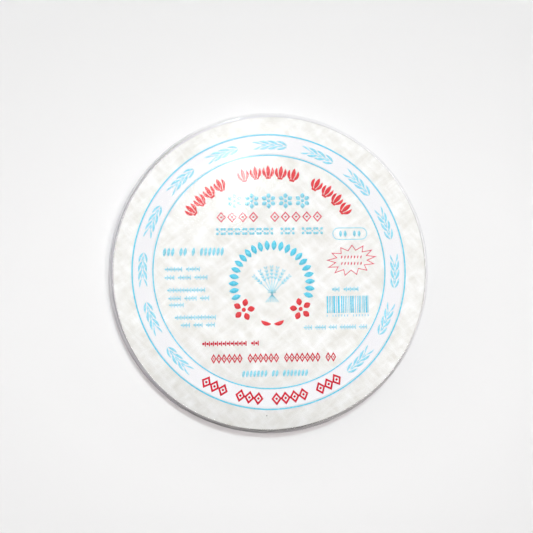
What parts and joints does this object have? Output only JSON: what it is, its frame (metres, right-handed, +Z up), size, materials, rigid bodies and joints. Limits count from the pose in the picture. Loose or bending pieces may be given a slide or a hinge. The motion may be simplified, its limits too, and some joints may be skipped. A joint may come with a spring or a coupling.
{
  "type": "clear-wrapped stack of rice paper wrappers",
  "caption": "Flat round stack of thin translucent rice paper wrappers, sealed in clear film with a printed ring, lying flat as kept in a pantry.",
  "frame": {"origin": "middle of the flat base, on the surface that the pack lies on", "axes": "+Z up through the stack, +Y towards the top of the print, +X to the right of the print"},
  "size_m": [0.227, 0.2266, 0.0122],
  "materials": {
    "clear_film_over_rice_paper": "clear shrink film, printed in light blue and red, over off-white translucent rice paper"
  },
  "bodies": {
    "root": {"wrapped_stack": "clear_film_over_rice_paper"}
  },
  "joints": []
}
